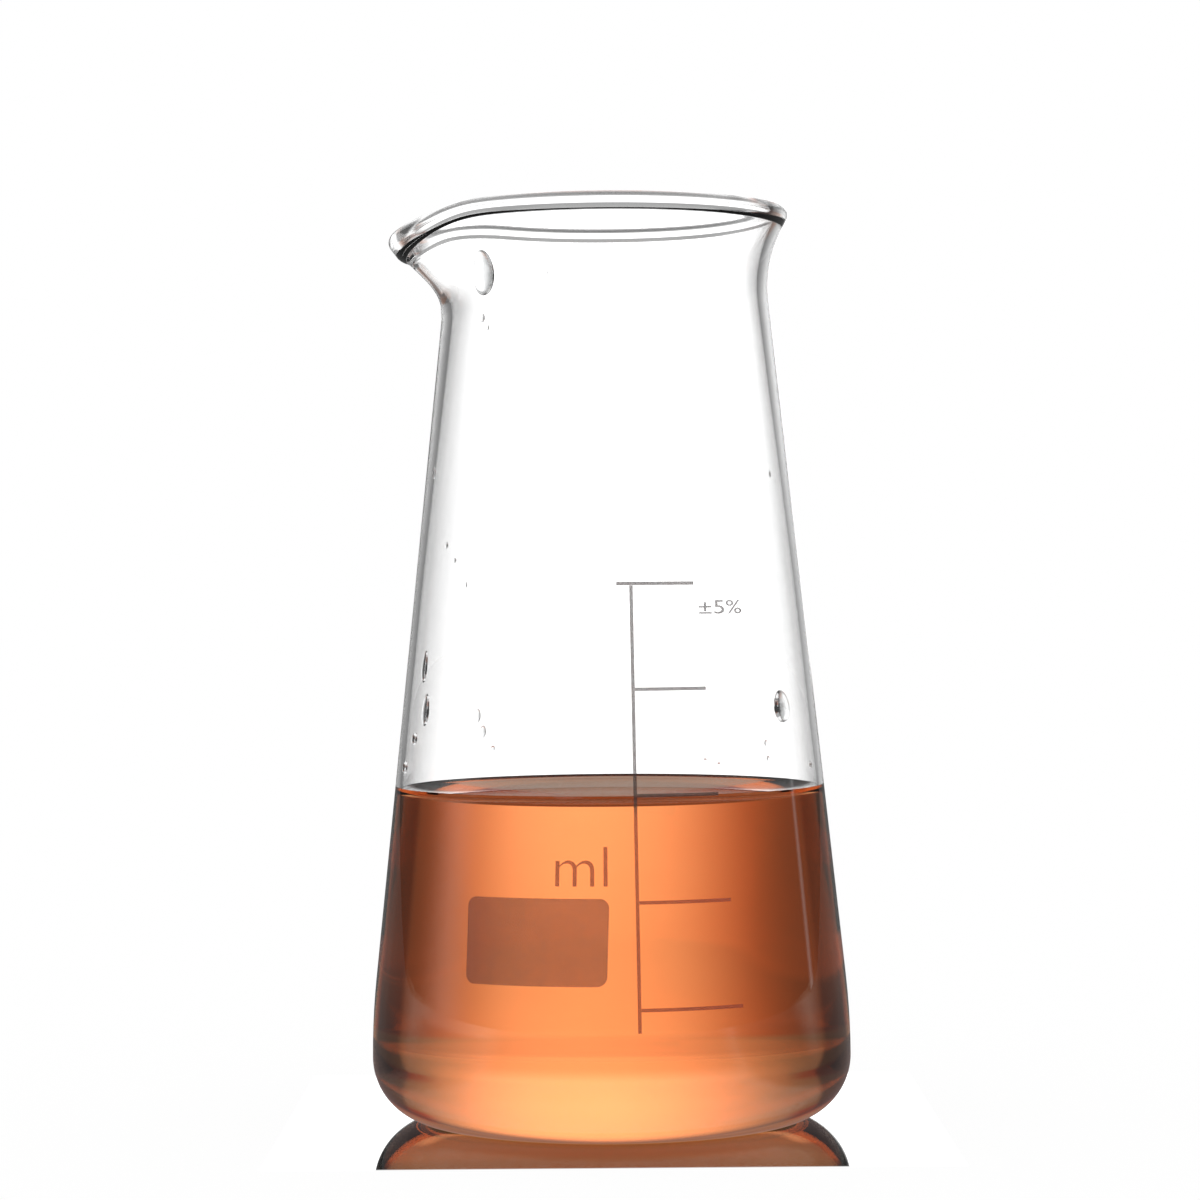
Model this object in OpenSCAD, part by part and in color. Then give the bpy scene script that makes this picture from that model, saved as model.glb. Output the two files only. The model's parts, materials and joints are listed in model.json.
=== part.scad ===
// Conical beaker: a blown glass vessel with a rounded heel, a tapering wall, a flared mouth
// with a beaded rim and a pulled pouring spout, a fired-on enamel scale, and its liquid.
// +Z is up, the table is z = 0, the spout points to -X and the scale faces -Y.

/* [Glass body] */
// Widest outer diameter, just above the rounded heel
body_d = 58.2; // [52:0.1:66]
// Overall height, from the table to the top of the rim
body_h = 110.8; // [104:0.1:125]
// Thickness of the blown wall, below where it thickens towards the mouth
wall_t = 0.8; // [0.7:0.05:1.2]
// Thickness of the bottom
floor_t = 1.5; // [1.2:0.05:2.5]
// Outer radius of the rounded heel
heel_r = 7.8; // [6:0.1:9]
// Radius of the slight bulge between the heel and the straight cone
belly_r = 90; // [60:1:130]
// Half-angle of the straight cone, in degrees
taper_a = 6.1; // [4:0.1:8]
// Height of the push-up in the middle of the bottom
kick_h = 0.8; // [0.4:0.1:1.5]
// Diameter of the push-up in the middle of the bottom
kick_d = 35; // [25:0.5:36]

/* [Neck and rim] */
// Radius of the curve that turns the cone outwards into the mouth
neck_r = 15.5; // [12:0.5:18]
// Angle of the flared lip from upright, in degrees
flare_a = 28; // [20:1:35]
// Length of the straight lip between the neck's curve and the rim bead
lip_l = 1.1; // [1:0.1:2]
// Thickness of the lip and of the upper neck
lip_t = 1.3; // [1.2:0.05:1.6]
// Height from which the wall thickens towards the lip
thin_h = 62; // [50:1:75]
// Height at which the wall reaches the lip's thickness
thick_h = 104; // [100:0.5:106]
// Radius of the fire-polished rim bead
bead_r = 1.1; // [0.9:0.05:1.2]

/* [Pouring spout] */
// How far the spout's lip stands out past the round rim
spout_reach = 3.8; // [2:0.1:6]
// How far the spout's lip droops below the rim
spout_droop = 3; // [1:0.1:4.5]
// Depth of the pulled part below the top of the rim
spout_depth = 13.8; // [12:0.1:15]
// Angle that the pull reaches on each side of the spout, in degrees
spout_spread = 62; // [50:1:75]
// Narrowness of the spout's nose, where a higher value is narrower
spout_power = 2.4; // [1.5:0.1:3]
// Share by which the rim bead is thicker at the spout's nose
nose_swell = 0.4; // [0.1:0.05:0.5]

/* [Liquid] */
// Height of the liquid's surface above the table
fill_h = 39.2; // [25:0.1:80]
// Clearance between the liquid and the glass
fill_gap = 0.1; // [0.05:0.01:0.3]

/* [Enamel scale] */
// Thickness of the fired-on enamel
print_t = 0.12; // [0.08:0.01:0.2]
// Clearance between the enamel and the glass, and between two strokes
print_gap = 0.02; // [0.01:0.01:0.05]
// Width of the scale's lines
line_w = 0.4; // [0.3:0.05:0.7]
// Height of the lowest graduation line
first_mark_h = 16.3; // [14:0.1:18]
// Height from one graduation line to the next
mark_pitch = 12.2; // [10:0.1:14]
// Length of the lowest graduation line, to the right of the upright line
low_mark_l = 12.5; // [9:0.1:15]
// Length of the highest graduation line, to the right of the upright line
high_mark_l = 7.3; // [5:0.1:9]
// Length of the highest graduation line's stub, to the left of the upright line
stub_l = 1.5; // [0.5:0.1:3]
// Length of the upright line below the lowest graduation line
spine_tail = 2.4; // [1:0.1:3]
// Direction of the upright line, in degrees to the right of the front
spine_a = 6.3; // [3:0.1:12]

/* [Marking panel] */
// Width of the marking panel
panel_w = 17.2; // [12:0.1:19]
// Height of the marking panel
panel_h = 10; // [7:0.1:12]
// Height of the marking panel's lower edge above the table
panel_z = 19; // [18:0.1:24]
// Radius of the marking panel's corners
panel_r = 1.1; // [0.5:0.1:2]
// Direction of the marking panel's middle, in degrees to the left of the front
panel_a = 18.7; // [17:0.1:28]

/* [Hidden] */

MARKS = 5;
FRONT = -90;
KICK_STEPS = 6;
HEEL_STEPS = 12;
BELLY_STEPS = 5;
WALL_STEPS = 6;
NECK_STEPS = 9;
BEAD_STEPS = 10;
MOUTH_STEPS = 96;
$fn = 96;

// The wide end of the cone: the bulge's arc turns from upright to the taper
wide_r = body_d / 2;
belly_x = wide_r - belly_r;

// The neck's curve: its middle is outside the glass, at the height of the narrowest place
neck_h = body_h - bead_r - (lip_l * cos(flare_a) + (neck_r + bead_r) * sin(flare_a));
neck_x = cone_r(neck_h - neck_r * sin(taper_a)) + neck_r * cos(taper_a);

// The mouth is lofted from just under the foot of the spout, with its own foot sunk into the wall
mouth_foot = 0.8;
mouth_h = body_h - spout_depth - mouth_foot;
mouth_sink = 0.5;
// The middle of the rim bead, in the plane of the profile
bead_at = [neck_x, neck_h] + (neck_r + bead_r) * [-cos(flare_a), sin(flare_a)]
    + lip_l * [sin(flare_a), cos(flare_a)];
// How far inside the wall's two faces the sunk foot lies, so that the two solids overlap cleanly
seam = 0.03;

// The outer face of the cone at a height
function cone_r(z) = belly_x + belly_r / cos(taper_a) - (z - heel_r) * tan(taper_a);

// Height where the bulge ends, on a face at distance e outside the glass's outer face
function belly_top(e) = heel_r + (belly_r + e) * sin(taper_a);

// Radius at a height between the heel and the neck, on a face at distance e outside the glass
function side_r(z, e = 0) = z < belly_top(e)
    ? belly_x + sqrt(pow(belly_r + e, 2) - pow(z - heel_r, 2))
    : cone_r(z) + e / cos(taper_a);

// A rise from 0 to 1 with level ends
function eased(t) = let (u = min(max(t, 0), 1)) u * u * (3 - 2 * u);

// Thickness of the wall at a height
function wall_at(z) = wall_t + (lip_t - wall_t) * eased((z - thin_h) / (thick_h - thin_h));

// Points along an arc, in the plane of the profile
function arc(x, z, r, from, to, steps) =
    [for (i = [0 : steps]) let (a = from + (to - from) * i / steps) [x + r * cos(a), z + r * sin(a)]];

function reversed(list) = [for (i = [len(list) - 1 : -1 : 0]) list[i]];

// The wall's line at distance e outside the glass, between two heights, with its bulge
function side_line(low, high, e) = concat(
    [[side_r(low, e), low]],
    [for (i = [1 : BELLY_STEPS])
        let (z = heel_r + (belly_top(e) - heel_r) * i / BELLY_STEPS)
        if (z > low + 0.01 && z < high - 0.01) [side_r(z, e), z]],
    [[side_r(high, e), high]]);

// The push-up of the bottom, from its edge to the axis, raised by a height
function kick_line(raised) =
    let (edge_r = kick_d / 2, dome_r = (pow(edge_r, 2) + pow(kick_h, 2)) / (2 * kick_h))
    [for (i = [0 : KICK_STEPS])
        let (r = edge_r * (1 - i / KICK_STEPS))
        [r, raised + sqrt(pow(dome_r, 2) - pow(r, 2)) - dome_r + kick_h]];

// The inside of the vessel up to a height, at distance gap from the glass, from the wall to the axis
function hollow_line(top, gap) =
    let (e = -wall_t - gap, round_r = heel_r - floor_t - gap, rise = max(top - thin_h, 0))
    concat(
        [for (i = [WALL_STEPS : -1 : 1])
            let (z = thin_h + rise * i / WALL_STEPS)
            if (rise > 0) [side_r(z, -wall_at(z) - gap), z]],
        reversed(side_line(heel_r, min(top, thin_h), e)),
        [for (p = reversed(arc(wide_r + e - round_r, heel_r, round_r, -90, 0, HEEL_STEPS)))
            if (p[1] < heel_r - 0.01) p],
        kick_line(floor_t + gap));

// The outer face from the axis to a height
function outer_line(top) = concat(
    reversed(kick_line(0)),
    arc(wide_r - heel_r, heel_r, heel_r, -90, 0, HEEL_STEPS),
    [for (p = side_line(heel_r, top, 0)) if (p[1] > heel_r + 0.01) p]);

// The mouth's section: up the outer face, round the rim bead and down the inner face
function mouth_section() =
    let (
        top_a = 180 - flare_a,
        foot_a = 180 + taper_a,
        meet_a = asin((lip_t - bead_r) / bead_r),
        low = mouth_h - mouth_sink,
        mid = (mouth_h + neck_h - neck_r * sin(taper_a)) / 2
    )
    concat(
        [[side_r(low, -seam), low], [side_r(mid), mid]],
        arc(neck_x, neck_h, neck_r, foot_a, top_a, NECK_STEPS),
        arc(bead_at[0], bead_at[1], bead_r, -flare_a, 270 - flare_a - meet_a, BEAD_STEPS),
        [for (i = [0 : NECK_STEPS])
            let (
                a = top_a + (foot_a - top_a) * i / NECK_STEPS,
                r = neck_r + wall_at(neck_h + neck_r * sin(a))
            )
            [neck_x + r * cos(a), neck_h + r * sin(a)]],
        [[side_r(mid, -wall_at(mid)), mid], [side_r(low, seam - wall_at(low)), low]]);

// The share of the spout's pull at an angle, which is strongest at -X
function pull(a) =
    let (off = min(abs(a - 180) / spout_spread, 1))
    pow(0.5 + 0.5 * cos(180 * off), spout_power);

// A point of the section at an angle, thickened at the nose: fully round the bead, less down the lip
function swollen(p, a) =
    let (near = eased((p[1] - bead_at[1]) / (2 * bead_r) + 1.5))
    p + nose_swell * pow(pull(a), 2) * near * (p - bead_at);

// A point of the section turned to an angle, pulled out and down by the spout
function mouth_point(p, a) =
    let (
        share = pull(a) * eased((p[1] - body_h + spout_depth) / (spout_depth - bead_r / 2)),
        q = swollen(p, a),
        r = q[0] + spout_reach * share
    )
    [r * cos(a), r * sin(a), q[1] - spout_droop * share];

// The flared mouth, its rim bead and its spout: one loft of the section round the axis
module mouth() {
    section = mouth_section();
    n = len(section);
    points = [for (j = [0 : MOUTH_STEPS - 1]) for (p = section) mouth_point(p, 360 * j / MOUTH_STEPS)];
    faces = [for (j = [0 : MOUTH_STEPS - 1]) for (i = [0 : n - 1])
        let (k = (j + 1) % MOUTH_STEPS, m = (i + 1) % n)
        each [[j * n + i, j * n + m, k * n + m], [j * n + i, k * n + m, k * n + i]]];
    polyhedron(points = points, faces = faces, convexity = 6);
}

// The blown glass: the turned vessel below and the lofted mouth above are one piece
module glass_body() {
    color([0.86, 0.93, 0.95, 0.4]) {
        rotate_extrude() polygon(concat(outer_line(mouth_h), hollow_line(mouth_h, 0)));
        mouth();
    }
}

// The liquid fills the vessel to its level
module liquid() {
    color([0.95, 0.5, 0.12, 0.8])
        rotate_extrude() polygon(concat([[0, fill_h]], hollow_line(fill_h, fill_gap)));
}

// The section of a layer of enamel on the wall, between two heights
module enamel_section(low, high) {
    polygon(concat(side_line(low, high, print_gap + print_t), reversed(side_line(low, high, print_gap))));
}

// A ring of enamel from one angle to another, to the right of the front
module enamel_band(low, high, from, to) {
    rotate([0, 0, FRONT + from]) rotate_extrude(angle = to - from) enamel_section(low, high);
}

function mark_h(number) = first_mark_h + (number - 1) * mark_pitch;

function mark_l(number) = low_mark_l + (high_mark_l - low_mark_l) * (number - 1) / (MARKS - 1);

// Degrees round the wall that a length covers at a height
function turn(length, z) = length / side_r(z) * 180 / PI;

// The upright line that carries the graduations, up to the underside of the highest one
module scale_spine() {
    low = first_mark_h - line_w / 2 - spine_tail;
    high = mark_h(MARKS) - line_w / 2 - print_gap;
    reach = turn(line_w, high);
    color([0.2, 0.16, 0.14]) intersection() {
        enamel_band(low, high, spine_a - reach, spine_a + reach);
        rotate([0, 0, FRONT + spine_a]) translate([0, -line_w / 2, 0]) cube([body_d, line_w, body_h]);
    }
}

// A graduation line: it starts beside the upright line, and the highest one crosses it
module graduation(number) {
    z = mark_h(number);
    side = turn(line_w / 2 + print_gap, z);
    start = number == MARKS ? spine_a - turn(stub_l + line_w / 2, z) : spine_a + side;
    color([0.2, 0.16, 0.14])
        enamel_band(z - line_w / 2, z + line_w / 2, start, spine_a + side + turn(mark_l(number), z));
}

// A rectangle with round corners, from the middle of its lower edge
module rounded_plate(w, h, r) {
    for (x = [-w / 2 + r, w / 2 - r], y = [r, h - r]) translate([x, y]) circle(r);
    translate([-w / 2, r]) square([w, h - 2 * r]);
    translate([-w / 2 + r, 0]) square([w - 2 * r, h]);
}

// The plain rounded panel of enamel for writing on
module marking_panel() {
    reach = asin(panel_w / 2 / side_r(panel_z + panel_h)) + 1;
    color([0.2, 0.16, 0.14]) intersection() {
        enamel_band(panel_z - 0.1, panel_z + panel_h + 0.1, -panel_a - reach, -panel_a + reach);
        rotate([0, 0, FRONT - panel_a]) translate([0, 0, panel_z]) rotate([90, 0, 90])
            linear_extrude(body_d) rounded_plate(panel_w, panel_h, panel_r);
    }
}

glass_body();
liquid();
scale_spine();
graduation(1);  // graduation_1
graduation(2);  // graduation_2
graduation(3);  // graduation_3
graduation(4);  // graduation_4
graduation(5);  // graduation_5
marking_panel();
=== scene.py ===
# A conical beaker: blown glass with a fired-on scale, holding an amber liquid.
# +Z is up, the beaker stands on z = 0, its spout points to -X and its scale faces -Y.
import json
import math

import bpy
from mathutils import Matrix, Vector

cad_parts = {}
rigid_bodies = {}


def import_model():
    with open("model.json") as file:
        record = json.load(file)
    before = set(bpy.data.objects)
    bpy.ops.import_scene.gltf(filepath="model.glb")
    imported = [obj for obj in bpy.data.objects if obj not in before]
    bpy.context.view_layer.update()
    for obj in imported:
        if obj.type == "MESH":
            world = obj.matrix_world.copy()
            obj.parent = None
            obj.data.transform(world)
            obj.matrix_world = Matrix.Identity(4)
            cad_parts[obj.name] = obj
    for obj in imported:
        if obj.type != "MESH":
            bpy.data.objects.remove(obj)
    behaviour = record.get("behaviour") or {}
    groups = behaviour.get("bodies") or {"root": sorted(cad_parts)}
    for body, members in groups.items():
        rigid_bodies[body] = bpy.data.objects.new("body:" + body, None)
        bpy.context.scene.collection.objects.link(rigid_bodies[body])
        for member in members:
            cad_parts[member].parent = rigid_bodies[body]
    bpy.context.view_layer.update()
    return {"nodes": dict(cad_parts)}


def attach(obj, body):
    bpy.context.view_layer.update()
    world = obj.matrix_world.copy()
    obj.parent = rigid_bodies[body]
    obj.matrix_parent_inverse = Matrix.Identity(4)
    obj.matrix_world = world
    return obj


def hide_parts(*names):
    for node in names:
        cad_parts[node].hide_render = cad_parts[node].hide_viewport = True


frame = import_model()
mm = 0.001
white, black = (1, 1, 1, 1), (0, 0, 0, 1)
print("frame loaded:", ", ".join(sorted(frame["nodes"])))


# The camera stands level with the upper half of the beaker and leans a little
cameraView = {
    "lens": 109.5, "sensor": 36, "clip": (0.01, 50), "distance": 445.3 * mm,
    "height": 64.95 * mm, "aside": -1.0 * mm, "pitch": -0.235, "roll": -0.452,
}


def placeCamera(view):
    data = bpy.data.cameras.new("photoCamera")
    data.lens, data.sensor_width = view["lens"], view["sensor"]
    data.clip_start, data.clip_end = view["clip"]
    eye = bpy.data.objects.new("photoCamera", data)
    bpy.context.scene.collection.objects.link(eye)
    turn = (Matrix.Rotation(math.radians(90 + view["pitch"]), 4, "X")
            @ Matrix.Rotation(math.radians(view["roll"]), 4, "Z"))
    place = Matrix.Translation((view["aside"], -view["distance"], view["height"]))
    eye.matrix_world = place @ turn
    bpy.context.scene.camera = eye
    print("camera placed")


placeCamera(cameraView)


# Shader maths: a Field is a number that varies over a surface, and sums on it add Math nodes
class Field:
    def __init__(self, finish, socket):
        self.finish, self.socket = finish, socket

    def math(self, operation, *inputs):
        sockets = dict(enumerate(inputs))
        return self.finish.node("ShaderNodeMath", {"operation": operation}, sockets)["Value"]

    def __add__(self, other): return self.math("ADD", self, other)
    def __radd__(self, other): return self.math("ADD", other, self)
    def __sub__(self, other): return self.math("SUBTRACT", self, other)
    def __rsub__(self, other): return self.math("SUBTRACT", other, self)
    def __mul__(self, other): return self.math("MULTIPLY", self, other)
    def __rmul__(self, other): return self.math("MULTIPLY", other, self)
    def __pow__(self, other): return self.math("POWER", self, other)
    def largest(self, other): return self.math("MAXIMUM", self, other)
    def size(self): return self.math("ABSOLUTE", self)

    # degrees from straight ahead, for a distance to the right and one ahead
    def azimuth(self, ahead): return self.math("ARCTAN2", self, ahead) * math.degrees(1)

    # degrees above the horizon, for the height of a unit vector
    def elevation(self): return self.math("ARCSINE", self) * math.degrees(1)

    # 1 at zero, and falls off evenly to both sides
    def bell(self, width):
        scaled = self * (1 / width)
        return self.math("EXPONENT", scaled * scaled * -1)

    # rises from 0 at one value to 1 at another, with level ends
    def eased(self, start, end):
        settings = {"interpolation_type": "SMOOTHSTEP"}
        sockets = {"Value": self, "From Min": start, "From Max": end}
        return self.finish.node("ShaderNodeMapRange", settings, sockets)["Result"]

    # 1 near zero, and 0 further out on both sides
    def within(self, inner, outer): return 1 - self.size().eased(inner, outer)


class Outputs:
    def __init__(self, finish, made):
        self.finish, self.made = finish, made

    def __getitem__(self, name):
        return Field(self.finish, self.made.outputs[name])


class Finish:
    def __init__(self, owner):
        owner.use_nodes = True
        self.owner, self.tree = owner, owner.node_tree
        self.tree.nodes.clear()

    def node(self, kind, settings=None, sockets=None):
        made = self.tree.nodes.new(kind)
        for name, value in (settings or {}).items():
            setattr(made, name, value)
        for name, value in (sockets or {}).items():
            if isinstance(value, Field):
                self.tree.links.new(value.socket, made.inputs[name])
            else:
                made.inputs[name].default_value = value
        return Outputs(self, made)

    def objectPlace(self):
        return self.node("ShaderNodeTexCoord")["Object"]

    def axes(self, vector):
        parts = self.node("ShaderNodeSeparateXYZ", None, {"Vector": vector})
        return parts["X"], parts["Y"], parts["Z"]

    def mixColour(self, share, first, second):
        settings = {"data_type": "RGBA", "clamp_factor": True}
        return self.node("ShaderNodeMix", settings, {"Factor": share, 6: first, 7: second})[2]

    def mixShader(self, share, first, second):
        return self.node("ShaderNodeMixShader", None, {0: share, 1: first, 2: second})["Shader"]

    def noise(self, place, pattern):
        return self.node("ShaderNodeTexNoise", None, {"Vector": place, **pattern})["Fac"]

    def bump(self, height, relief):
        return self.node("ShaderNodeBump", None, {"Height": height, **relief})["Normal"]

    def principled(self, sockets):
        return self.node("ShaderNodeBsdfPrincipled", None, sockets)["BSDF"]

    # glass or water with a perfectly smooth face: it bends and mirrors the light
    def clear(self, colour, ior, normal):
        return self.principled({"Base Color": colour, "Roughness": 0.0, "IOR": ior,
                                "Transmission Weight": 1.0, "Normal": normal})

    def output(self, sockets):
        self.node("ShaderNodeOutputMaterial", None, sockets)


def newMaterial(name):
    return Finish(bpy.data.materials.new(name))


# The shape of the blown glass in millimetres, as in the part's own source
glass = {
    "bodyD": 58.2, "bodyH": 110.8, "wallT": 0.8, "floorT": 1.5, "heelR": 7.8, "bellyR": 90,
    "taper": math.radians(6.1), "kickH": 0.8, "kickD": 35, "thinH": 62, "thickH": 104,
    "neckR": 15.5, "flare": math.radians(28), "lipL": 1.1, "lipT": 1.3, "beadR": 1.1,
    "spoutReach": 3.8, "spoutDroop": 3, "spoutDepth": 13.8, "spoutSpread": 62, "spoutPower": 2.4,
    "noseSwell": 0.4, "noseStart": 1.5,
    "kickSteps": 12, "arcSteps": 24, "wallSteps": 48, "spinSteps": 192,
    "ior": 1.47, "wave": {"Scale": 45, "Detail": 1},
    "smudge": {"Scale": 130, "Detail": 5, "Roughness": 0.65}, "smudged": (0.55, 0.75),
    "smudgeTint": (0.975, 0.98, 0.978, 1), "relief": {"Strength": 0.5, "Distance": 0.00002},
}
wideR = glass["bodyD"] / 2
bellyX = wideR - glass["bellyR"]


def eased(t):
    u = min(max(t, 0), 1)
    return u * u * (3 - 2 * u)


def coneRadius(z):
    foot = bellyX + glass["bellyR"] / math.cos(glass["taper"])
    return foot - (z - glass["heelR"]) * math.tan(glass["taper"])


# radius at a height above the heel, on a face at distance e outside the outer face
def wallRadius(z, e=0):
    if z < glass["heelR"] + (glass["bellyR"] + e) * math.sin(glass["taper"]):
        return bellyX + math.sqrt((glass["bellyR"] + e) ** 2 - (z - glass["heelR"]) ** 2)
    return coneRadius(z) + e / math.cos(glass["taper"])


# the wall thickens from the body towards the lip
def wallAt(z):
    rise = (z - glass["thinH"]) / (glass["thickH"] - glass["thinH"])
    return glass["wallT"] + (glass["lipT"] - glass["wallT"]) * eased(rise)


# the neck's curve, and the rim bead at the end of the lip
outward = Vector((-math.cos(glass["flare"]), math.sin(glass["flare"])))
upLip = Vector((math.sin(glass["flare"]), math.cos(glass["flare"])))
neckH = (glass["bodyH"] - glass["beadR"] - glass["lipL"] * upLip.y
         - (glass["neckR"] + glass["beadR"]) * outward.y)
footH = neckH - glass["neckR"] * math.sin(glass["taper"])
neckX = coneRadius(footH) + glass["neckR"] * math.cos(glass["taper"])
beadAt = (Vector((neckX, neckH)) + (glass["neckR"] + glass["beadR"]) * outward
          + glass["lipL"] * upLip)


def arc(x, z, radius, start, end, steps):
    turns = [start + (end - start) * i / steps for i in range(steps + 1)]
    return [(x + radius * math.cos(a), z + radius * math.sin(a)) for a in turns]


def heightsBetween(low, high, steps):
    return [low + (high - low) * i / steps for i in range(steps + 1)]


# the push-up of the bottom, from its edge to the axis
def kickLine(raised):
    edge, rise, steps = glass["kickD"] / 2, glass["kickH"], glass["kickSteps"]
    dome = (edge ** 2 + rise ** 2) / (2 * rise)
    radii = [edge * (1 - i / steps) for i in range(steps + 1)]
    return [(r, raised + math.sqrt(dome ** 2 - r ** 2) - dome + rise) for r in radii]


# the inside of the vessel up to a height, at a distance into the hollow, from the wall to the axis
def hollowLine(top, gap, steps):
    roundR = glass["heelR"] - glass["floorT"] - gap
    heelX = wideR - glass["wallT"] - gap - roundR
    heights = heightsBetween(top, glass["heelR"], steps)
    wall = [(wallRadius(z, -wallAt(z) - gap), z) for z in heights]
    heel = arc(heelX, glass["heelR"], roundR, 0, -math.pi / 2, glass["arcSteps"])
    return wall[:-1] + heel + kickLine(glass["floorT"] + gap)


# the whole section of the glass, from the axis under the bottom to the axis inside
def glassSection():
    topA, footA = math.pi - glass["flare"], math.pi + glass["taper"]
    meet = math.asin((glass["lipT"] - glass["beadR"]) / glass["beadR"])
    beadTurn = (-glass["flare"], 1.5 * math.pi - glass["flare"] - meet)
    heelR, neckR, arcSteps = glass["heelR"], glass["neckR"], glass["arcSteps"]
    inner = []
    for i in range(arcSteps + 1):
        a = topA + (footA - topA) * i / arcSteps
        r = neckR + wallAt(neckH + neckR * math.sin(a))
        inner.append((neckX + r * math.cos(a), neckH + r * math.sin(a)))
    outer = kickLine(0)[::-1]
    outer += arc(wideR - heelR, heelR, heelR, -math.pi / 2, 0, arcSteps)
    heights = heightsBetween(heelR, footH, glass["wallSteps"])
    outer += [(wallRadius(z), z) for z in heights[1:-1]]
    outer += arc(neckX, neckH, neckR, footA, topA, arcSteps)
    outer += arc(beadAt.x, beadAt.y, glass["beadR"], *beadTurn, arcSteps)
    return outer + inner + hollowLine(footH, 0, glass["wallSteps"])[1:]


# the share of the spout's pull at an angle, strongest at -X
def spoutPull(angle):
    off = min(abs(angle - 180) / glass["spoutSpread"], 1)
    return (0.5 + 0.5 * math.cos(math.pi * off)) ** glass["spoutPower"]


# a point of the turned glass, thickened at the nose and pulled out and down by the spout
def pulledBySpout(co):
    angle = math.degrees(math.atan2(co.y, co.x)) % 360
    place = Vector((math.hypot(co.x, co.y), co.z)) / mm
    pull = spoutPull(angle)
    near = eased((place.y - beadAt.y) / (2 * glass["beadR"]) + glass["noseStart"])
    height = place.y - glass["bodyH"] + glass["spoutDepth"]
    share = pull * eased(height / (glass["spoutDepth"] - glass["beadR"] / 2))
    place += glass["noseSwell"] * pull ** 2 * near * (place - beadAt)
    r = (place.x + glass["spoutReach"] * share) * mm
    a = math.radians(angle)
    return Vector((r * math.cos(a), r * math.sin(a), (place.y - glass["spoutDroop"] * share) * mm))


def deselectAll():
    if bpy.context.object and bpy.context.object.mode != "OBJECT":
        bpy.ops.object.mode_set(mode="OBJECT")
    bpy.ops.object.select_all(action="DESELECT")


# welds points that are this close, splits the faces to triangles if asked, and turns them outwards
def cleanMesh(weld=None, triangles=False):
    bpy.ops.object.mode_set(mode="EDIT")
    bpy.ops.mesh.select_all(action="SELECT")
    if weld:
        bpy.ops.mesh.remove_doubles(threshold=weld)
    if triangles:
        bpy.ops.mesh.quads_convert_to_tris()
    bpy.ops.mesh.normals_make_consistent(inside=False)
    bpy.ops.object.mode_set(mode="OBJECT")


# draws a section in millimetres point by point in the XZ plane and spins it round the axis
def turned(name, section, steps):
    deselectAll()
    bpy.ops.mesh.primitive_plane_add(size=mm, location=(0, 0, 0))
    piece = bpy.context.object
    piece.name = piece.data.name = name
    bpy.ops.object.mode_set(mode="EDIT")
    bpy.ops.mesh.select_all(action="SELECT")
    bpy.ops.mesh.merge(type="CENTER")
    place = Vector((0, 0, 0))
    for i, (r, z) in enumerate(section):
        target = Vector((r * mm, 0, z * mm))
        step = {"value": target - place}
        if i == 0:
            bpy.ops.transform.translate(**step)
        else:
            bpy.ops.mesh.extrude_region_move(TRANSFORM_OT_translate=step)
        place = target
    bpy.ops.mesh.select_all(action="SELECT")
    bpy.ops.mesh.spin(steps=steps, angle=2 * math.pi, center=(0, 0, 0), axis=(0, 0, 1))
    cleanMesh(weld=0.002 * mm)
    bpy.ops.object.shade_smooth()
    return piece


glassPiece = turned("blownGlass", glassSection(), glass["spinSteps"])
for point in glassPiece.data.vertices:
    point.co = pulledBySpout(point.co)
glassPiece.data.update()
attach(glassPiece, "root")
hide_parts("glass_body")


def finishGlass(piece):
    finish = newMaterial("blownGlassFinish")
    place = finish.objectPlace()
    smudge = finish.noise(place, glass["smudge"]).eased(*glass["smudged"])
    colour = finish.mixColour(smudge, white, glass["smudgeTint"])
    normal = finish.bump(finish.noise(place, glass["wave"]), glass["relief"])
    finish.output({"Surface": finish.clear(colour, glass["ior"], normal)})
    piece.data.materials.append(finish.owner)


finishGlass(glassPiece)
print("glass body:", len(glassPiece.data.polygons), "faces")


# The liquid wets the glass, so its surface climbs at the wall
liquid = {
    "level": 38.75, "climb": 1.85, "climbL": 2.7, "overlap": 0.05,
    "surfaceSteps": 72, "crowding": 2.2, "wallSteps": 36,
    "ior": 1.333, "absorbs": (0.4, 19.5, 35.3),
    "tint": (0.99, 0.8, 0.6, 1), "paler": (0.99, 0.84, 0.64, 1), "palerFrom": (0.35, 0.65),
    "swirl": {"Scale": 60, "Detail": 3}, "relief": {"Strength": 0.3, "Distance": 0.000004},
}


# the surface from the axis to the wall, with its points crowded where it climbs, then the hollow
def liquidSection():
    tipZ = liquid["level"] + liquid["climb"]
    tipR = wallRadius(tipZ, -glass["wallT"] + liquid["overlap"])
    steps = liquid["surfaceSteps"]
    surface = []
    for i in range(steps):
        r = tipR * (1 - (1 - i / steps) ** liquid["crowding"])
        climb = liquid["climb"] * math.exp((r - tipR) / liquid["climbL"])
        surface.append((r, liquid["level"] + climb))
    return surface + hollowLine(tipZ, -liquid["overlap"], liquid["wallSteps"])


liquidPiece = turned("amberLiquid", liquidSection(), glass["spinSteps"])
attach(liquidPiece, "root")
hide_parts("liquid")


def finishLiquid(piece):
    finish = newMaterial("amberLiquidFinish")
    swirl = finish.noise(finish.objectPlace(), liquid["swirl"])
    colour = finish.mixColour(swirl.eased(*liquid["palerFrom"]), liquid["tint"], liquid["paler"])
    normal = finish.bump(swirl, liquid["relief"])
    density = max(liquid["absorbs"])
    tint = [1 - share / density for share in liquid["absorbs"]] + [1]
    volume = finish.node("ShaderNodeVolumeAbsorption", None, {"Color": tint, "Density": density})
    finish.output({"Surface": finish.clear(colour, liquid["ior"], normal),
                   "Volume": volume["Volume"]})
    piece.data.materials.append(finish.owner)


finishLiquid(liquidPiece)
print("liquid:", len(liquidPiece.data.polygons), "faces")


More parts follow.
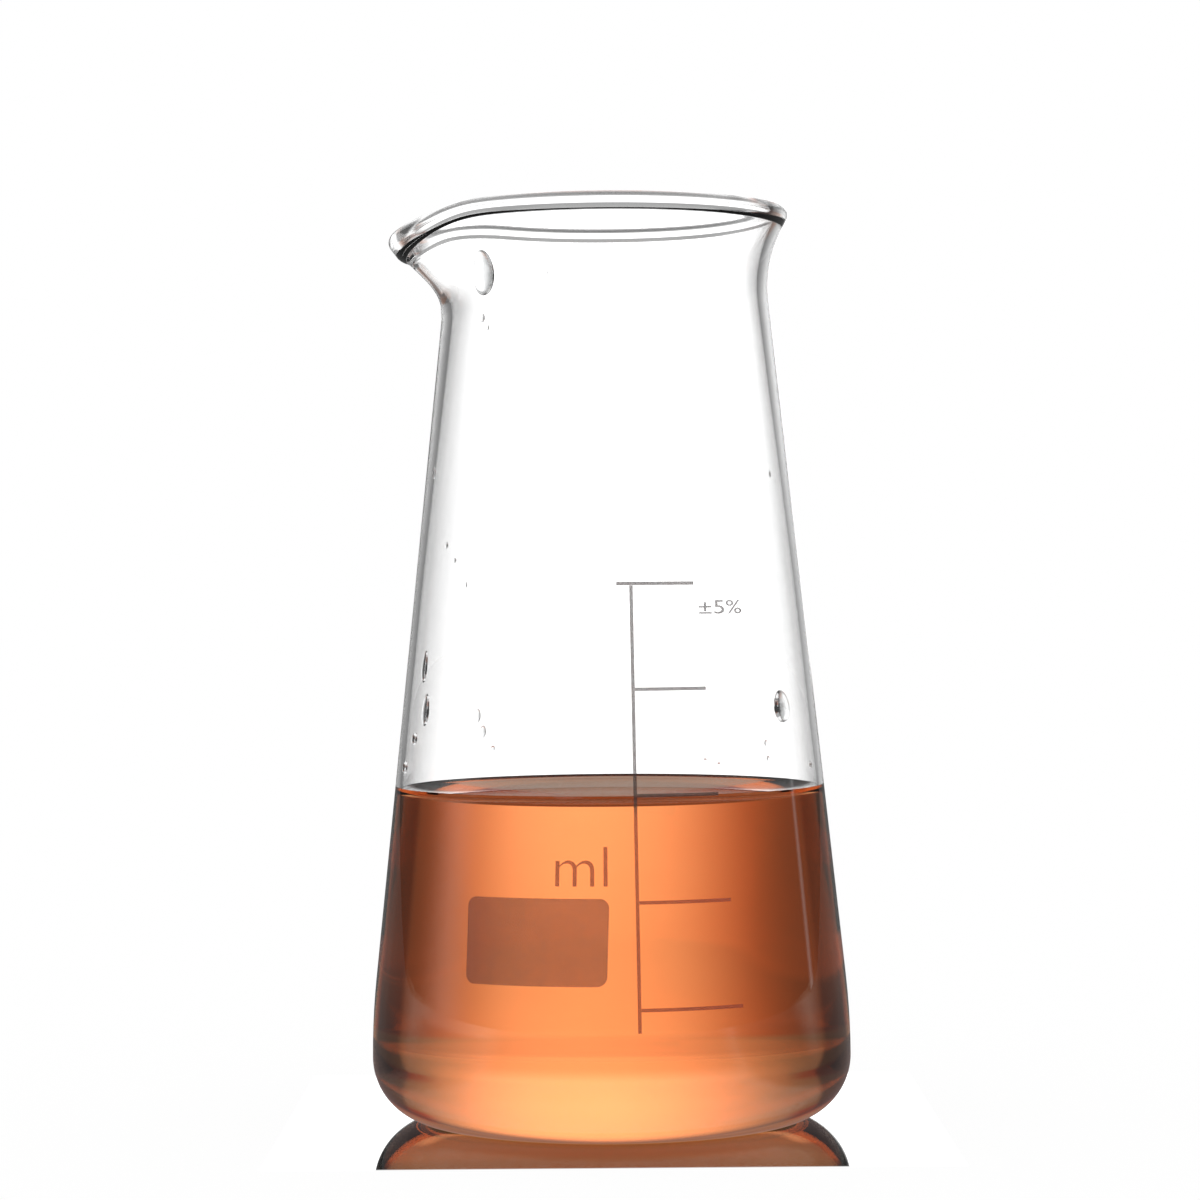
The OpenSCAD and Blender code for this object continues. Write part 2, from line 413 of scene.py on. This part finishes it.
# The enamel of the scale and of the marking panel, fired on in one thin coat that lets some light
# through. Its dark brown colour is painted shade, for enamel seen against the light behind it. Up
# to the liquid's level its colour also has a painted amber glow, for the amber light behind it.
enamel = {
    "thin": (0.03, 0.012, 0.01, 1), "thick": (0.06, 0.022, 0.016, 1), "thickFrom": (0.35, 0.65),
    "mottle": {"Scale": 700, "Detail": 4, "Roughness": 0.6}, "fine": {"Scale": 5200, "Detail": 2},
    "pinholes": (0.68, 0.76), "pinholeDepth": 0.5,
    "lineCover": 0.54, "panelCover": 0.39, "coverSpread": 0.1,
    "lineGlow": (0.36, 0.035, 0.005, 1), "panelGlow": (0.1, 0.006, 0.01, 1),
    "glowTop": (37.5 * mm, 39.5 * mm), "glowSpread": 0.3,
    "roughness": 0.42, "roughSpread": 0.2, "relief": {"Strength": 0.4, "Distance": 0.00002},
}


def finishEnamel(name, cover, glow):
    finish = newMaterial(name)
    place = finish.objectPlace()
    height = finish.axes(place)[2]
    mottle = finish.noise(place, enamel["mottle"])
    fine = finish.noise(place, enamel["fine"])
    # the dark brown of painted shade, mottled between a thinner and a thicker coat
    colour = finish.mixColour(mottle.eased(*enamel["thickFrom"]), enamel["thin"], enamel["thick"])
    # a painted amber glow up to the liquid's level, patchy with the mottle
    lit = (1 - height.eased(*enamel["glowTop"])) * (1 - mottle * enamel["glowSpread"])
    covered = mottle * enamel["coverSpread"] + (cover - enamel["coverSpread"] / 2)
    rough = mottle * enamel["roughSpread"] + (enamel["roughness"] - enamel["roughSpread"] / 2)
    shader = finish.principled({
        "Base Color": finish.mixColour(lit, colour, glow), "Roughness": rough,
        "Alpha": covered * (1 - fine.eased(*enamel["pinholes"]) * enamel["pinholeDepth"]),
        "Normal": finish.bump(fine, enamel["relief"])})
    finish.output({"Surface": shader})
    return finish.owner


lineEnamel = finishEnamel("lineEnamel", enamel["lineCover"], enamel["lineGlow"])
panelEnamel = finishEnamel("panelEnamel", enamel["panelCover"], enamel["panelGlow"])
for name in ["scale_spine", "marking_panel"] + [f"graduation_{n}" for n in range(1, 6)]:
    materials = frame["nodes"][name].data.materials
    materials.clear()
    materials.append(panelEnamel if name == "marking_panel" else lineEnamel)
print("enamel: scale and panel")


# The unit and a tolerance, in plain letters of the same enamel: angles from the front in degrees,
# and heights in millimetres
marks = [
    {"name": "unitMark", "text": "ml", "turns": (-13.6, -0.8), "foot": 30.4, "tall": 4.5,
     "thin": -0.012},
    {"name": "toleranceMark", "text": "±5%", "turns": (26, 40.5), "foot": 61.5, "tall": 1.6,
     "thin": 0},
]
letters = {"gap": 0.03, "thick": 0.04, "extrude": 0.02, "curveSteps": 6, "weld": 0.0005}


# radius at a height on a face at distance e outside the outer face, through the neck's curve too
def outerRadius(z, e):
    if z < footH:
        return wallRadius(z, e)
    return neckX - math.sqrt((glass["neckR"] - e) ** 2 - (z - neckH) ** 2)


# a point on the outside of the glass: its angle from the front, its height and its distance out
def onWall(turn, z, out):
    r = outerRadius(z, out) * mm
    a = math.radians(turn)
    return pulledBySpout(Vector((r * math.sin(a), -r * math.cos(a), z * mm)))


def printed(mark):
    deselectAll()
    bpy.ops.object.text_add(location=(0, 0, 0))
    words = bpy.context.object.data
    words.body, words.offset = mark["text"], mark["thin"]
    words.extrude, words.resolution_u = letters["extrude"], letters["curveSteps"]
    bpy.ops.object.convert(target="MESH")
    piece = bpy.context.object
    piece.name = piece.data.name = mark["name"]
    cleanMesh(weld=letters["weld"], triangles=True)
    points = piece.data.vertices
    low = [min(point.co[k] for point in points) for k in range(3)]
    high = [max(point.co[k] for point in points) for k in range(3)]
    for point in points:
        u, v, w = ((point.co[k] - low[k]) / (high[k] - low[k]) for k in range(3))
        turn = mark["turns"][0] + u * (mark["turns"][1] - mark["turns"][0])
        height = mark["foot"] + v * mark["tall"]
        point.co = onWall(turn, height, letters["gap"] + w * letters["thick"])
    piece.data.materials.append(lineEnamel)
    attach(piece, "root")


for mark in marks:
    printed(mark)
print("lettering: unit and tolerance")


# Drops that cling to the outside: angle from the front, height, width and length in millimetres
drops = {
    "gap": 0.015, "bulge": 0.21, "heavy": 0.1, "segments": 32, "rings": 16, "ior": 1.333,
    "tint": (0.96, 0.975, 0.98, 1), "ripple": {"Scale": 900, "Detail": 2},
    "relief": {"Strength": 0.1, "Distance": 0.00002},
    "places": [
        (-46.6, 102.0, 3.4, 5.4), (54.0, 50.5, 3.0, 3.8), (-63.1, 55.4, 1.5, 3.8),
        (-60.1, 50.3, 1.7, 3.8), (-65.6, 46.8, 1.6, 1.5), (-71.0, 43.3, 1.6, 1.5),
        (-37.6, 49.8, 0.8, 1.6), (-35.6, 48.0, 0.9, 1.4), (-32.1, 46.1, 0.6, 0.6),
        (-11.2, 90.6, 0.6, 2.3), (18.7, 87.6, 0.4, 0.4), (-46.4, 96.6, 0.7, 1.0),
        (-43.6, 95.4, 0.5, 0.6), (-56.1, 69.8, 0.6, 0.8), (-51.3, 68.0, 0.6, 0.6),
        (-45.4, 65.1, 0.5, 0.7), (45.9, 46.3, 0.6, 0.7), (46.2, 44.5, 0.5, 0.6),
        (68.0, 43.3, 0.8, 0.8), (25.4, 44.6, 0.4, 0.5), (29.4, 44.1, 0.4, 0.4),
        (-20.8, 101.5, 0.5, 0.8), (-70.0, 78.5, 0.9, 1.6), (61.0, 78.0, 0.5, 0.8),
    ],
}


# one drop from a unit ball: flat against the wall, domed outwards and heavier at its foot
def dropPoint(co, turn, z, width, length):
    across = co.x * width / 2 * (1 - drops["heavy"] * co.z)
    out = max(-co.y, 0) * drops["bulge"] * width * (1 - drops["heavy"] * co.z)
    high = z + co.z * length / 2
    return onWall(turn + math.degrees(across / outerRadius(high, 0)), high, drops["gap"] + out)


def makeDrops():
    made = []
    for place in drops["places"]:
        deselectAll()
        bpy.ops.mesh.primitive_uv_sphere_add(
            segments=drops["segments"], ring_count=drops["rings"], radius=1)
        made.append(bpy.context.object)
        for point in made[-1].data.vertices:
            point.co = dropPoint(point.co, *place)
    for drop in made:
        drop.select_set(True)
    bpy.ops.object.join()
    piece = bpy.context.object
    piece.name = piece.data.name = "clingingDrops"
    cleanMesh()
    bpy.ops.object.shade_smooth()
    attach(piece, "root")
    finish = newMaterial("dropFinish")
    ripple = finish.noise(finish.objectPlace(), drops["ripple"])
    colour = finish.mixColour(ripple, white, drops["tint"])
    normal = finish.bump(ripple, drops["relief"])
    finish.output({"Surface": finish.clear(colour, drops["ior"], normal)})
    piece.data.materials.append(finish.owner)


makeDrops()
print("drops:", len(drops["places"]))


# The floor is a white glossy sheet. Close round the beaker it mirrors it, at a low angle. What the
# glass and the liquid show of it is a mirror behind the beaker, at a low angle too, and elsewhere a
# white card. That card has painted shade behind the beaker, less where it is seen from high above,
# a little at its sides, far out in front and to the right, and wherever the glass only reflects it.
# Close round the beaker that painted shade is maroon, a painted glow of the liquid on the floor,
# and under the beaker the card has a painted orange pool of light, as of light through the liquid.
# Azimuths are in degrees to the right of +Y.
table = {
    "size": 8.0, "patch": (38.6 * mm, 39.6 * mm), "mirror": 0.7, "roughness": 0.01,
    "glowing": 0.93, "left": -90, "right": 90, "sector": (25, 37),
    "lowAngle": (0.7, 0.83), "lowAngleThrough": (0.6, 0.9), "mirrorSector": (70, 85),
    "throughMirror": 0.95, "close": (150 * mm, 320 * mm), "grazing": (0.865, 0.905),
    "closeShade": 0.17, "shade": 0.15, "steepShade": 0.3, "steep": (0.35, 0.5),
    "lowSector": (62, 75), "low": (0.66, 0.76), "leftShade": 0.45, "rightShade": 0.15,
    "sideNear": (300 * mm, 550 * mm), "sideLow": (0.5, 0.62),
    "inFront": (115, 130), "far": (0.85, 0.91), "farLight": 0.06,
    "under": (22 * mm, 24 * mm), "underLight": 0.38, "underTint": (0.9, 0.4, 0.12, 1),
    "near": (60 * mm, 120 * mm), "nearTint": (0.08, 0.016, 0.009, 1),
}


# how much light the floor gives to rays through or off the glass
def floorLight(azimuth, radius, facing, transmitted, reflected, under):
    sector = table["sector"]
    lowBehind = azimuth.within(*table["lowSector"]) * facing.eased(*table["low"])
    behind = azimuth.within(*sector).largest(lowBehind).largest(reflected)
    steep = 1 - facing.eased(*table["steep"])
    shade = steep * (table["steepShade"] - table["shade"]) + table["shade"]
    left = (azimuth - table["left"]).within(*sector)
    right = (azimuth - table["right"]).within(*sector)
    sides = (left * (1 - table["leftShade"])).largest(right * (1 - table["rightShade"]))
    sides = sides * radius.within(*table["sideNear"]) * facing.eased(*table["sideLow"])
    light = 1 - (behind * (1 - shade)).largest(sides)
    light = light + under * (table["underLight"] - light)
    far = azimuth.size().eased(*table["inFront"]).largest(right) * facing.eased(*table["far"])
    return light * (1 - transmitted * far * (1 - table["farLight"]))


def makeTable():
    deselectAll()
    bpy.ops.mesh.primitive_plane_add(size=table["size"], location=(0, 0, 0))
    piece = bpy.context.object
    piece.name = piece.data.name = "tableTop"
    finish = newMaterial("tableFinish")
    path = finish.node("ShaderNodeLightPath")
    camera, transmitted = path["Is Camera Ray"], path["Is Transmission Ray"]
    reflected = path["Is Glossy Ray"] * (1 - transmitted)
    x, y, _ = finish.axes(finish.objectPlace())
    radius = (x * x + y * y) ** 0.5
    azimuth = x.azimuth(y)
    facing = finish.node("ShaderNodeLayerWeight", None, {"Blend": 0.5})["Facing"]
    patch = x.size().largest(y.size()).within(*table["patch"])
    closeBehind = radius.within(*table["close"]) * facing.eased(*table["grazing"])
    seenThrough = (transmitted * azimuth.within(*table["mirrorSector"])
                   * facing.eased(*table["lowAngleThrough"])
                   * (table["throughMirror"] * (1 - closeBehind * table["closeShade"])))
    mirrorShare = camera * patch * facing.eased(*table["lowAngle"]) + seenThrough
    under = radius.within(*table["under"])
    lit = floorLight(azimuth, radius, facing, transmitted, reflected, under)
    # the colour of the painted shade: black, and maroon close round the beaker for a painted glow
    # of the liquid; under the beaker, a painted orange pool of light
    paintedShadeColour = finish.mixColour(radius.within(*table["near"]), black, table["nearTint"])
    bright = finish.mixColour(under * (1 - camera), white, table["underTint"])
    colour = finish.mixColour(camera.largest(lit), paintedShadeColour, bright)
    card = finish.node("ShaderNodeEmission", None, {"Color": colour, "Strength": 1.0})["Emission"]
    sheet = finish.node("ShaderNodeBsdfDiffuse", None, {"Color": white})["BSDF"]
    mirror = finish.node("ShaderNodeBsdfGlossy", None, {
        "Color": [table["mirror"]] * 3 + [1], "Roughness": table["roughness"]})["BSDF"]
    glow = camera * table["glowing"] + transmitted.largest(reflected)
    plain = finish.mixShader(glow, sheet, card)
    finish.output({"Surface": finish.mixShader(mirrorShare, plain, mirror)})
    piece.data.materials.append(finish.owner)


makeTable()
print("table laid")


# A low lit card stands behind the beaker and one to its left, brightest in the middle, with dark
# between them, which draws the edges of the glass, and the sky above them is pale. The floor
# mirrors the card behind between white sides. Its ends there are warm and the dark beside it is
# maroon, where the liquid glows on the floor. The glass reflects only the middle of the card, a
# bright strip and the pale ceiling. Only rays through or off the glass and the floor see all
# this, and the rest is lit by an even white. Azimuths are in degrees to the right of +Y.
studio = {
    "card": 1.95, "cardWidth": 19, "cardAside": 3, "cardFoot": (2, 9), "footLight": 0.71,
    "cardTop": (11, 18), "topLight": 0.12, "wing": 0.15, "wingEnd": (36, 40), "gap": 0.05,
    "left": -90, "leftCard": 1.02, "leftWidth": 13,
    "skyThrough": (8, 14), "clearLeft": (35, 50), "skyOver": (16, 22), "clearBehind": (70, 85),
    "overhead": (28, 36), "clearOverhead": (30, 45), "over": (13, 18), "overLight": 0.4,
    "floorCard": 2.2, "floorWidth": 18, "sides": (55, 70), "sideLight": 1.43,
    "glassCard": 2.2, "glassWidth": 8, "stripAt": 66, "stripWidth": 1.6, "stripLight": 0.9,
    "ceiling": (14, 18), "ceilingLight": 1.4,
    "warm": (1, 0.6, 0.45, 1), "warmFrom": (8, 25), "warmAbove": (5, 7),
    "maroon": (1, 0.35, 0.2, 1), "maroonBelow": (15, 20), "gapEnd": (60, 70),
    "highGap": (25, 32), "highGapEnd": (50, 58), "highFrom": (9.5, 12),
}


# the world as rays through the glass see it
def seenThroughGlass(azimuth, aside, rise, level, wing):
    foot = rise.eased(*studio["cardFoot"]) * (1 - studio["footLight"]) + studio["footLight"]
    fromLeft = azimuth - studio["left"]
    left = fromLeft.bell(studio["leftWidth"]) * studio["leftCard"]
    behind = aside.bell(studio["cardWidth"]) * studio["card"] * foot
    cards = (behind + wing + left) * level + studio["gap"]
    besideLeft = rise.eased(*studio["skyThrough"]) * fromLeft.size().eased(*studio["clearLeft"])
    sky = besideLeft.largest(rise.eased(*studio["skyOver"]))
    sky = sky * azimuth.size().eased(*studio["clearBehind"])
    overhead = rise.eased(*studio["overhead"])
    overhead = overhead * azimuth.size().eased(*studio["clearOverhead"])
    over = rise.eased(*studio["over"]) * studio["overLight"]
    return cards.largest(sky).largest(overhead).largest(over)


# the world as the floor mirrors it
def seenOffFloor(azimuth, aside, level, wing):
    card = aside.bell(studio["floorWidth"]) * studio["floorCard"]
    sides = azimuth.size().eased(*studio["sides"]) * studio["sideLight"]
    return ((card + wing) * level + studio["gap"]).largest(sides)


# the world as the glass reflects it
def seenOffGlass(azimuth, aside, level):
    card = aside.bell(studio["glassWidth"]) * studio["glassCard"]
    strip = (azimuth - studio["stripAt"]).bell(studio["stripWidth"]) * studio["stripLight"]
    return (card * level + studio["gap"]).largest(strip)


def glowColour(finish, azimuth, aside, rise, transmitted, mirrored):
    wide = azimuth.size()
    above = rise.eased(*studio["warmAbove"])
    ends = (mirrored * aside.size().eased(*studio["warmFrom"])
            * azimuth.within(*studio["wingEnd"]) * above)
    lowGaps = mirrored * wide.eased(*studio["wingEnd"]) * azimuth.within(*studio["gapEnd"])
    highGaps = (transmitted * wide.eased(*studio["highGap"])
                * azimuth.within(*studio["highGapEnd"]) * rise.eased(*studio["highFrom"]))
    gaps = (lowGaps + highGaps) * above * (1 - rise.eased(*studio["maroonBelow"]))
    return finish.mixColour(gaps, finish.mixColour(ends, white, studio["warm"]), studio["maroon"])


def makeStudio():
    world = bpy.data.worlds.new("studio")
    bpy.context.scene.world = world
    finish = Finish(world)
    path = finish.node("ShaderNodeLightPath")
    x, y, z = finish.axes(finish.node("ShaderNodeTexCoord")["Generated"])
    azimuth, rise = x.azimuth(y), z.elevation()
    aside = azimuth - studio["cardAside"]
    level = 1 - rise.eased(*studio["cardTop"]) * (1 - studio["topLight"])
    wing = azimuth.within(*studio["wingEnd"]) * studio["wing"]
    ceiling = rise.eased(*studio["ceiling"]) * studio["ceilingLight"]
    transmitted = path["Is Transmission Ray"]
    reflected = path["Is Glossy Ray"] * (1 - transmitted)
    glassy = reflected * path["Is Singular Ray"]
    mirrored = reflected - glassy
    through = seenThroughGlass(azimuth, aside, rise, level, wing)
    offGlass = seenOffGlass(azimuth, aside, level).largest(ceiling)
    offFloor = seenOffFloor(azimuth, aside, level, wing).largest(ceiling)
    strength = (transmitted * through + glassy * offGlass + mirrored * offFloor
                + (1 - transmitted.largest(reflected)))
    colour = glowColour(finish, azimuth, aside, rise, transmitted, mirrored)
    light = finish.node("ShaderNodeBackground", None, {"Color": colour, "Strength": strength})
    finish.node("ShaderNodeOutputWorld", None, {"Surface": light["Background"]})


makeStudio()
print("studio lit")

bpy.context.scene.view_settings.view_transform = "Standard"
